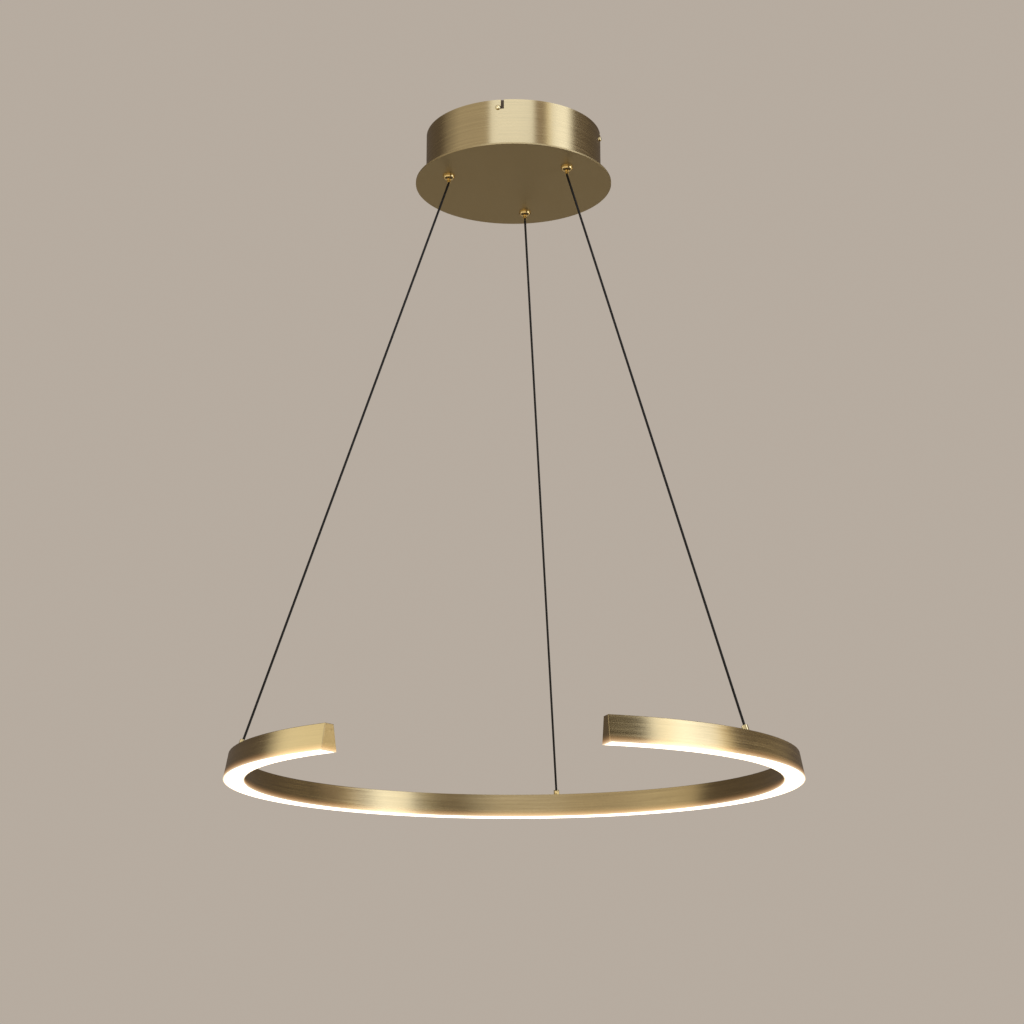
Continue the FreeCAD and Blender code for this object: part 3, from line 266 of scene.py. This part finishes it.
def brushed_round(name, base, radius, rough, anisotropy, painted_glow=None):
    """Brass brushed round the main axis: streaks along the circle, highlights drawn out across them."""
    mat, tree, shader = material(name)
    split = tree.nodes.new("ShaderNodeSeparateXYZ")
    tree.links.new(object_place(tree), split.inputs[0])
    x, y, z = split.outputs
    along = math_node(tree, "MULTIPLY", math_node(tree, "ARCTAN2", x, y), radius)
    flat = combine(tree, x, y, 0.0)
    out = vector_node(tree, "LENGTH", flat).outputs["Value"]

    def streaks(scales, detail, roughness):
        lengthwise, crosswise = scales
        place = combine(tree, math_node(tree, "MULTIPLY", along, lengthwise),
                        math_node(tree, "MULTIPLY", out, crosswise),
                        math_node(tree, "MULTIPLY", z, crosswise))
        return noise(tree, place, 1.0, detail, roughness)

    fine = streaks(BRUSHED_FINE, detail=3.0, roughness=0.6)
    broad = streaks(BRUSHED_BROAD, detail=2.0, roughness=0.5)
    marks = mixed(tree, fine, broad, BRUSHED_FINE_SHARE)
    dark, light = (times(base, tint) for tint in BRUSHED_TINTS)
    colour = blend_colour(tree, span(tree, marks, 0.0, 1.0, NOISE_USED), dark, light)
    tree.links.new(colour, shader.inputs["Base Color"])
    shader.inputs["Metallic"].default_value = 1.0
    shader.inputs["Anisotropic"].default_value = anisotropy
    # Painted glow: the lowest edge of the metal is given an emission of its own.
    if painted_glow:
        add_painted_glow(tree, shader, z, *painted_glow)
    uneven_rough(tree, shader, marks, rough, BRUSHED_ROUGH, NOISE_USED)
    unit = vector_node(tree, "NORMALIZE", flat).outputs[0]
    across = vector_node(tree, "ADD", unit, (0.0, 0.0, 1.0)).outputs[0]
    to_world = tree.nodes.new("ShaderNodeVectorTransform")
    to_world.vector_type = "VECTOR"
    to_world.convert_from = "OBJECT"
    to_world.convert_to = "WORLD"
    tree.links.new(across, to_world.inputs[0])
    tree.links.new(to_world.outputs[0], shader.inputs["Tangent"])
    bump(tree, shader, fine, distance=0.02 * MM, strength=0.5)
    return mat


def satin(name, base, rough, stretch, contrast=1.0, metallic=1.0):
    """A metal with fine straight marks, drawn out by the smallest of its three stretches."""
    mat, tree, shader = material(name)
    place = object_place(tree)
    fine = stretched_noise(tree, place, stretch, detail=3.0, roughness=0.6)
    cloud = noise(tree, place, SATIN_CLOUD, detail=3.0, roughness=0.5)
    marks = mixed(tree, fine, cloud, SATIN_FINE_SHARE)
    dark, light = (times(base, 1.0 + swing * contrast) for swing in SATIN_SWINGS)
    colour = blend_colour(tree, span(tree, marks, 0.0, 1.0, NOISE_USED), dark, light)
    tree.links.new(colour, shader.inputs["Base Color"])
    shader.inputs["Metallic"].default_value = metallic
    uneven_rough(tree, shader, marks, rough, SATIN_ROUGH, NOISE_USED)
    bump(tree, shader, fine, distance=0.01 * MM, strength=0.4)
    return mat


def polished(name, base, rough):
    """Turned and polished metal, with faint smudges in its gloss."""
    mat, tree, shader = material(name)
    place = object_place(tree)
    smudge = noise(tree, place, POLISHED_SMUDGE, detail=4.0, roughness=0.55)
    rings = stretched_noise(tree, place, POLISHED_RINGS, detail=2.0, roughness=0.5)
    tree.links.new(blend_colour(tree, smudge, times(base, POLISHED_TINT), base), shader.inputs["Base Color"])
    shader.inputs["Metallic"].default_value = 1.0
    uneven_rough(tree, shader, smudge, rough, POLISHED_ROUGH)
    bump(tree, shader, rings, distance=0.006 * MM, strength=0.5)
    return mat


def moulded(name, base, rough, grain=900.0, depth=0.03 * MM):
    """Moulded plastic or rubber: a fine grain and a slight unevenness of colour."""
    mat, tree, shader = material(name)
    place = object_place(tree)
    fine = noise(tree, place, grain, detail=3.0, roughness=0.6)
    cloud = noise(tree, place, MOULDED_CLOUD, detail=3.0, roughness=0.5)
    dark, light = (times(base, tint) for tint in MOULDED_TINTS)
    tree.links.new(blend_colour(tree, cloud, dark, light), shader.inputs["Base Color"])
    uneven_rough(tree, shader, fine, rough, MOULDED_ROUGH)
    bump(tree, shader, fine, distance=depth, strength=0.5)
    return mat


def cable_finish(name, base):
    """A thin black cable: smooth sleeve with the faint lay of its strands showing through."""
    mat, tree, shader = material(name)
    fine = stretched_noise(tree, object_place(tree), CABLE_LAY, detail=3.0, roughness=0.6)
    dark, light = (times(base, tint) for tint in CABLE_TINTS)
    tree.links.new(blend_colour(tree, fine, dark, light), shader.inputs["Base Color"])
    tree.links.new(span(tree, fine, *CABLE_GLOSS), shader.inputs["Roughness"])
    shader.inputs["Specular IOR Level"].default_value = CABLE_SPECULAR
    bump(tree, shader, fine, distance=0.03 * MM, strength=0.5)
    return mat


def opal(name, base, light, strength):
    """The lit diffuser: opal plastic that glows a warm white."""
    mat, tree, shader = material(name)
    place = object_place(tree)
    cloud = noise(tree, place, OPAL_CLOUD, detail=2.0, roughness=0.5)
    tree.links.new(blend_colour(tree, cloud, times(base, OPAL_TINT), base), shader.inputs["Base Color"])
    shader.inputs["Roughness"].default_value = OPAL_GLOSS
    shader.inputs["Emission Color"].default_value = (*light, 1.0)
    glow_swing = strength * OPAL_GLOW_SWING
    tree.links.new(span(tree, cloud, strength - glow_swing, strength + glow_swing),
                   shader.inputs["Emission Strength"])
    grain = noise(tree, place, OPAL_GRAIN, detail=2.0, roughness=0.5)
    bump(tree, shader, grain, distance=0.01 * MM, strength=0.3)
    return mat


def make_finishes():
    """One material for each slot of the record."""
    channel_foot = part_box("ring_channel")[0].z
    looks = {
        "brushed_brass_sheet": (brushed_round, (0.62, 0.51, 0.29),
                                dict(radius=98.0 * MM, rough=0.24, anisotropy=0.70)),
        "brushed_brass_disc": (satin, (0.56, 0.455, 0.25),
                               dict(rough=0.44, stretch=(900.0, 30.0, 900.0), contrast=0.5)),
        "brass_anodised": (brushed_round, (0.62, 0.50, 0.275),
                           dict(radius=290.0 * MM, rough=0.22, anisotropy=0.60,
                                # The ring's painted glow: emission over the lowest 10 mm of its metal, up
                                # from the foot of the channel.
                                painted_glow=(channel_foot, 10.0 * MM, 0.75))),
        "polished_brass": (polished, (0.84, 0.65, 0.31), dict(rough=0.16)),
        "plain_brass": (satin, (0.72, 0.54, 0.25), dict(rough=0.25, stretch=(900.0, 900.0, 60.0))),
        "bronze_steel": (satin, (0.14, 0.10, 0.065),
                         dict(rough=0.6, stretch=(160.0, 160.0, 160.0), contrast=1.6, metallic=0.0)),
        "turned_brass": (polished, (0.98, 0.86, 0.52), dict(rough=0.11)),
        "zinc_steel": (satin, (0.68, 0.68, 0.66), dict(rough=0.28, stretch=(400.0, 400.0, 400.0))),
        "spring_steel": (satin, (0.55, 0.56, 0.58), dict(rough=0.22, stretch=(600.0, 600.0, 2600.0))),
        "black_rubber": (moulded, (0.025, 0.025, 0.025), dict(rough=0.7)),
        "black_cable": (cable_finish, (0.009, 0.009, 0.0095), {}),
        "white_plastic": (moulded, (0.78, 0.78, 0.75), dict(rough=0.42)),
        "green_board": (moulded, (0.02, 0.11, 0.045), dict(rough=0.32, grain=300.0, depth=0.01 * MM)),
        "white_board": (moulded, (0.82, 0.82, 0.79), dict(rough=0.45, grain=300.0, depth=0.01 * MM)),
        "led_yellow": (moulded, (0.85, 0.62, 0.12), dict(rough=0.3, grain=500.0, depth=0.01 * MM)),
        "lead_insulation": (moulded, (0.12, 0.045, 0.02), dict(rough=0.45)),
        "earth_insulation": (moulded, (0.14, 0.30, 0.02), dict(rough=0.45)),
        "opal_diffuser": (opal, (0.92, 0.90, 0.86), dict(light=(1.0, 0.90, 0.76), strength=3.2)),
    }
    return {name: finish(name, base, **look) for name, (finish, base, look) in looks.items()}


def dress(obj, mat):
    obj.data.materials.clear()
    obj.data.materials.append(mat)


finishes = make_finishes()
for part in frame["record"]["subparts"]:
    dress(frame["nodes"][part["node"]], finishes[part["material_slot"]])


# Suspension cables
def route_line(points):
    """Points along the smooth line of a route, read from its own spline."""
    curve = bpy.data.curves.new("route", "CURVE")
    curve.dimensions = "3D"
    spline = curve.splines.new("NURBS")
    spline.points.add(len(points) - 1)
    for spot, point in zip(spline.points, points):
        spot.co = (*point, 1.0)
    spline.order_u = ROUTE_ORDER
    spline.use_endpoint_u = True
    spline.resolution_u = CABLE_RINGS // len(points)
    thing = bpy.data.objects.new("route", curve)
    line = bpy.data.meshes.new_from_object(thing)
    found = [vertex.co.copy() for vertex in line.vertices]
    bpy.data.objects.remove(thing)
    bpy.data.curves.remove(curve)
    bpy.data.meshes.remove(line)
    return found


def tube(name, line, radius, sides):
    """A round tube with closed ends along a line of points."""
    verts = []
    faces = []
    count = len(line)
    for i, point in enumerate(line):
        before = line[max(i - 1, 0)]
        after = line[min(i + 1, count - 1)]
        along = (after - before).normalized()
        side = along.cross(UP)
        if side.length < TOO_UPRIGHT:
            side = along.cross(SIDEWAYS)
        side.normalize()
        other = along.cross(side)
        for k in range(sides):
            turn = 2.0 * math.pi * k / sides
            verts.append(point + side * (radius * math.cos(turn)) + other * (radius * math.sin(turn)))
    for i in range(count - 1):
        for k in range(sides):
            a = i * sides + k
            b = i * sides + (k + 1) % sides
            faces.append((a, b, b + sides, a + sides))
    faces.append(tuple(reversed(range(sides))))
    faces.append(tuple(range((count - 1) * sides, count * sides)))
    mesh = bpy.data.meshes.new(name)
    mesh.from_pydata(verts, [], faces)
    mesh.validate()
    mesh.update()
    for face in mesh.polygons:
        face.use_smooth = len(face.vertices) == 4
    thing = bpy.data.objects.new(name, mesh)
    bpy.context.scene.collection.objects.link(thing)
    return thing


def suspension_cable(name, degrees):
    """The free stretch of one cable, from the bend under its nozzle down into its ferrule."""
    turn = math.radians(degrees)
    out = Vector((math.sin(turn), -math.cos(turn), 0.0))
    high = out * UPPER_BEND[0] + UP * UPPER_BEND[1]
    foot = out * FERRULE_FOOT[0] + UP * FERRULE_FOOT[1]
    along = (foot - high).normalized()
    low = foot - along * FERRULE_REACH
    start = high + along * BEND_CLEAR
    end = low - along * BEND_CLEAR
    line = route_line([start, start + along * ROUTE_STEADY, end - along * ROUTE_STEADY, end])
    cable = tube("cable_" + name, line, CABLE_DIAMETER / 2, CABLE_SIDES)
    dress(cable, finishes["black_cable"])
    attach(cable, "canopy")
    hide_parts("suspension_cable_" + name)
    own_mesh(cable)


# Gripper springs: a coil of wire inside the box of each spring part
def gripper_spring(name):
    low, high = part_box("gripper_spring_" + name)
    middle = (low + high) / 2
    radius = (high.x - low.x) / 2 - SPRING_WIRE
    tall = high.z - low.z - 2 * SPRING_WIRE
    line = []
    steps = SPRING_TURNS * SPRING_STEPS
    for i in range(steps + 1):
        turn = 2.0 * math.pi * i / SPRING_STEPS
        line.append(Vector((middle.x + radius * math.cos(turn), middle.y + radius * math.sin(turn),
                            low.z + SPRING_WIRE + tall * i / steps)))
    spring = tube("spring_" + name, line, SPRING_WIRE, SPRING_SIDES)
    dress(spring, finishes["spring_steel"])
    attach(spring, "canopy")
    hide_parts("gripper_spring_" + name)
    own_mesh(spring)


for station, degrees in STATIONS.items():
    suspension_cable(station, degrees)
for station in STATIONS:
    gripper_spring(station)


# Studio
def compass(degrees, away, level):
    """A place round the axis: degrees from the camera's side, positive to its right."""
    turn = math.radians(CAMERA_SIDE + degrees)
    return Vector((math.sin(turn) * away, -math.cos(turn) * away, level))


def aim(thing, place, target):
    thing.location = place
    thing.rotation_mode = "QUATERNION"
    thing.rotation_quaternion = (target - place).to_track_quat("-Z", "Y")


def lamp(name, degrees, level, wide, tall, radiance):
    """A soft box that faces the light. Its power follows from how bright its face is."""
    light = bpy.data.lights.new(name, "AREA")
    light.shape = "RECTANGLE"
    light.size = wide
    light.size_y = tall
    light.energy = radiance * math.pi * wide * tall
    light.color = LAMP_TINT
    thing = bpy.data.objects.new(name, light)
    bpy.context.scene.collection.objects.link(thing)
    aim(thing, compass(degrees, LAMP_AWAY, level), LAMP_AIM)
    thing.visible_camera = False
    thing.visible_glossy = False


def glow(name, colour, radiance):
    """An even glow that fades out where a panel's own reach falls to nothing."""
    mat = bpy.data.materials.new(name)
    mat.use_nodes = True
    tree = mat.node_tree
    tree.nodes.clear()
    emission = tree.nodes.new("ShaderNodeEmission")
    emission.inputs["Color"].default_value = (*colour, 1.0)
    emission.inputs["Strength"].default_value = radiance
    clear = tree.nodes.new("ShaderNodeBsdfTransparent")
    reach = tree.nodes.new("ShaderNodeAttribute")
    reach.attribute_name = "reach"
    mix = tree.nodes.new("ShaderNodeMixShader")
    output = tree.nodes.new("ShaderNodeOutputMaterial")
    tree.links.new(reach.outputs["Fac"], mix.inputs[0])
    tree.links.new(clear.outputs[0], mix.inputs[1])
    tree.links.new(emission.outputs[0], mix.inputs[2])
    tree.links.new(mix.outputs[0], output.inputs["Surface"])
    return mat


def ramp(distance, soft):
    """Rises from nothing to one over a soft edge."""
    return min(distance / soft, 1.0) if soft else 1.0


def panel(name, turn, levels, radiance, colour, away, soft, fade):
    """A studio panel that only reflections see, bent round the axis, with soft edges.

    Turn is its first and last edge in degrees, and soft the width of their soft edges in degrees.
    Levels and away are the height and the distance from the axis of its foot and its head, and fade
    is how far it fades in and out there."""
    first, last = turn
    low, high = levels
    foot, head = away
    verts = []
    faces = []
    reach = []
    wide = last - first
    tall = math.hypot(high - low, head - foot)
    for i in range(PANEL_STEPS + 1):
        share = i / PANEL_STEPS
        side = min(ramp(wide * share, soft[0]), ramp(wide * (1.0 - share), soft[1]))
        for k in range(PANEL_RISES + 1):
            rise = k / PANEL_RISES
            verts.append(compass(first + wide * share, foot + (head - foot) * rise,
                                 low + (high - low) * rise))
            reach.append(side * min(ramp(tall * rise, fade[0]), ramp(tall * (1.0 - rise), fade[1])))
    row = PANEL_RISES + 1
    for i in range(PANEL_STEPS):
        for k in range(PANEL_RISES):
            a = i * row + k
            faces.append((a, a + row, a + row + 1, a + 1))
    mesh = bpy.data.meshes.new(name)
    mesh.from_pydata(verts, [], faces)
    mesh.materials.append(glow(name, colour, radiance))
    layer = mesh.attributes.new("reach", "FLOAT", "POINT")
    for i, value in enumerate(reach):
        layer.data[i].value = value
    thing = bpy.data.objects.new(name, mesh)
    bpy.context.scene.collection.objects.link(thing)
    thing.visible_camera = False
    thing.visible_diffuse = False
    thing.visible_shadow = False
    thing.visible_transmission = False


def wall(name, turn, levels, radiance, colour, away, soft=(8.0, 8.0), fade=(0.2, 0.2)):
    """A panel that stands upright."""
    panel(name, turn, levels, radiance, colour, (away, away), soft, fade)


def make_panels():
    """The room that the brass reflects: windows, the dark posts between them, walls, floor and ceiling."""
    daylight = (0.94, 0.98, 1.10)
    blue_daylight = (0.91, 1.0, 1.22)
    shade_tint = (1.0, 0.80, 0.67)
    wall("wall_left", (-110.0, 60.0), (-1.0, 2.2), 1.0, (0.54, 0.48, 0.41), 2.6, fade=(0.3, 0.3))
    wall("front_low", (-62.0, 28.0), (-2.3, -0.40), 0.9, (1.0, 0.84, 0.60), 2.0,
         soft=(10.0, 10.0), fade=(0.3, 0.2))
    wall("front_window", (-32.0, 29.0), (0.08, 0.95), 1.42, daylight, 0.9,
         soft=(5.0, 6.0), fade=(0.12, 0.2))
    wall("right_curtain", (40.0, 100.0), (-0.35, 1.9), 1.46, (1.0, 0.92, 0.76), 2.2, soft=(8.0, 6.0))
    wall("right_window", (45.0, 88.0), (-0.35, 1.9), 1.57, daylight, 2.18)
    wall("right_post_high", (25.0, 44.0), (0.65, 1.9), 0.44, shade_tint, 2.1, soft=(6.0, 8.0))
    wall("right_post_low", (6.0, 54.0), (-1.2, 0.75), 0.05, shade_tint, 2.1,
         soft=(18.0, 4.0), fade=(0.2, 0.3))
    wall("rear_shade", (74.0, 286.0), (-0.80, 2.2), 0.12, shade_tint, 2.1,
         soft=(12.0, 32.0), fade=(0.3, 0.3))
    wall("right_shade_low", (70.0, 110.0), (0.05, 0.72), 0.31, shade_tint, 2.0,
         soft=(11.0, 6.0), fade=(0.1, 0.2))
    wall("right_curtain_low", (53.0, 92.0), (-0.85, 0.16), 2.1, (1.0, 0.86, 0.60), 2.05, soft=(4.0, 8.0))
    wall("right_window_low", (56.0, 86.0), (-0.85, 0.16), 2.9, blue_daylight, 2.03, soft=(7.0, 8.0))
    wall("wall_low_left", (-103.0, -66.0), (-0.40, 0.62), 1.0, (0.62, 0.54, 0.43), 2.05, soft=(6.0, 20.0))
    wall("wall_glow", (91.0, 134.0), (-0.80, -0.25), 1.6, (1.0, 0.85, 0.58), 2.0, soft=(10.0, 14.0))
    wall("left_window", (-102.0, -60.0), (-0.64, -0.30), 1.24, (1.0, 0.95, 0.82), 0.95,
         soft=(13.0, 6.0), fade=(0.06, 0.06))
    wall("far_low", (135.0, 225.0), (-1.6, -0.62), 0.42, (1.0, 0.88, 0.72), 2.05,
         soft=(20.0, 20.0), fade=(0.2, 0.25))
    panel("floor_shade", (0.0, 360.0), (-2.4, -2.4), 0.06, shade_tint, away=(0.0, 3.6),
          soft=(0.0, 0.0), fade=(0.0, 0.6))
    panel("ceiling_shade", (0.0, 360.0), (1.85, 1.85), 0.32, shade_tint, away=(0.25, 2.05),
          soft=(0.0, 0.0), fade=(0.2, 0.3))


def make_floor():
    mesh = bpy.data.meshes.new("floor")
    rim = [compass(360.0 * i / FLOOR_SIDES, FLOOR_RADIUS, FLOOR_LEVEL) for i in range(FLOOR_SIDES)]
    mesh.from_pydata(rim, [], [tuple(range(FLOOR_SIDES))])
    mat, tree, shader = material("floor_pale")
    cloud = noise(tree, object_place(tree), FLOOR_CLOUD, detail=3.0, roughness=0.5)
    tree.links.new(blend_colour(tree, cloud, FLOOR_DARK, FLOOR_LIGHT), shader.inputs["Base Color"])
    shader.inputs["Roughness"].default_value = FLOOR_ROUGH
    mesh.materials.append(mat)
    floor = bpy.data.objects.new("floor", mesh)
    bpy.context.scene.collection.objects.link(floor)


def make_world():
    world = bpy.data.worlds.new("studio")
    bpy.context.scene.world = world
    world.use_nodes = True
    shade = world.node_tree.nodes["Background"]
    shade.inputs["Color"].default_value = (*WORLD_COLOUR, 1.0)
    shade.inputs["Strength"].default_value = 1.0


def make_camera():
    data = bpy.data.cameras.new("camera")
    data.sensor_width = CAMERA_SENSOR
    data.lens = CAMERA_LENS
    data.clip_start = CAMERA_NEAR
    data.clip_end = CAMERA_FAR
    camera = bpy.data.objects.new("camera", data)
    bpy.context.scene.collection.objects.link(camera)
    turn = math.radians(CAMERA_SIDE)
    right = Vector((math.cos(turn), math.sin(turn), 0.0))
    forward = Vector((-math.sin(turn), math.cos(turn), 0.0))
    place = forward * -CAMERA_AWAY - right * CAMERA_LEFT
    place.z = CAMERA_LEVEL
    pitch = math.radians(CAMERA_PITCH)
    look = forward * math.cos(pitch) + UP * math.sin(pitch)
    aim(camera, place, place + look)
    roll = Quaternion(UP, math.radians(CAMERA_ROLL))
    camera.rotation_quaternion = camera.rotation_quaternion @ roll
    bpy.context.scene.camera = camera


make_world()
lamp("front_lamp", degrees=-1.5, level=1.0, wide=2.0, tall=1.4, radiance=0.6)
lamp("right_lamp", degrees=66.0, level=0.6, wide=1.6, tall=2.4, radiance=0.8)
make_panels()
make_floor()
make_camera()
bpy.context.scene.view_settings.view_transform = "Standard"
